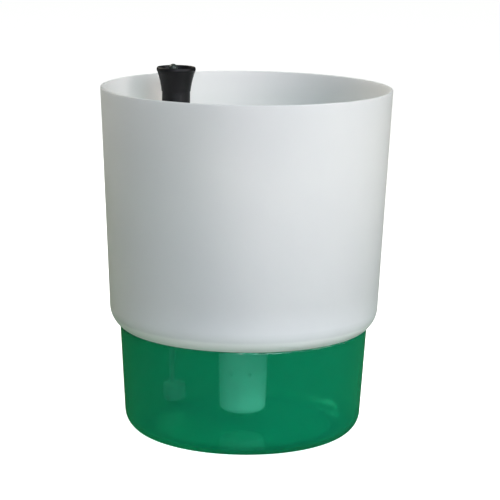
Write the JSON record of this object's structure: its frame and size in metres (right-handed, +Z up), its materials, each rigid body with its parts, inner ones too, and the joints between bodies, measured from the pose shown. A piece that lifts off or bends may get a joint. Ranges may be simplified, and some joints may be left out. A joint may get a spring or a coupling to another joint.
{
  "type": "self watering planter",
  "caption": "Round tapered white plant pot on a see-through green water reservoir, with a hanging wick well, a filler tube with funnel, and a float level indicator.",
  "frame": {"origin": "centre of the reservoir's foot, on the surface that it stands on", "axes": "+Z up along the planter's axis, -Y towards the front; the filler is at -X, +Y"},
  "size_m": [0.1999, 0.2, 0.25],
  "materials": {
    "green_tank": "see-through green, glossy",
    "white_pot": "white, slightly translucent, satin",
    "milky_well": "milky translucent, satin",
    "black_tube": "black, satin",
    "black_funnel": "black, satin",
    "black_guide": "black, satin",
    "float_stem": "natural translucent",
    "float_body": "natural translucent",
    "float_clip": "natural translucent",
    "indicator": "dark grey-green, satin"
  },
  "bodies": {
    "reservoir": {"reservoir_tank": "green_tank"},
    "pot": {"planter_pot": "white_pot"},
    "well": {"wick_well": "milky_well"},
    "filler": {"fill_tube": "black_tube", "fill_funnel": "black_funnel", "rod_guide": "black_guide"},
    "float": {"float_rod": "float_stem", "float_body": "float_body", "float_clip": "float_clip", "indicator_tip": "indicator"}
  },
  "joints": [
    {"name": "pot_lift", "type": "slide", "parent": "reservoir", "child": "pot", "axis": [0, 0, 1], "range_m": [0, 0.09]},
    {"name": "well_lift", "type": "slide", "parent": "pot", "child": "well", "axis": [0, 0, 1], "range_m": [0, 0.235]},
    {"name": "filler_lift", "type": "slide", "parent": "pot", "child": "filler", "axis": [0, 0, 1], "range_m": [0, 0.245]},
    {"name": "float_rise", "type": "slide", "parent": "filler", "child": "float", "axis": [0, 0, 1], "range_m": [0, 0.045]}
  ]
}
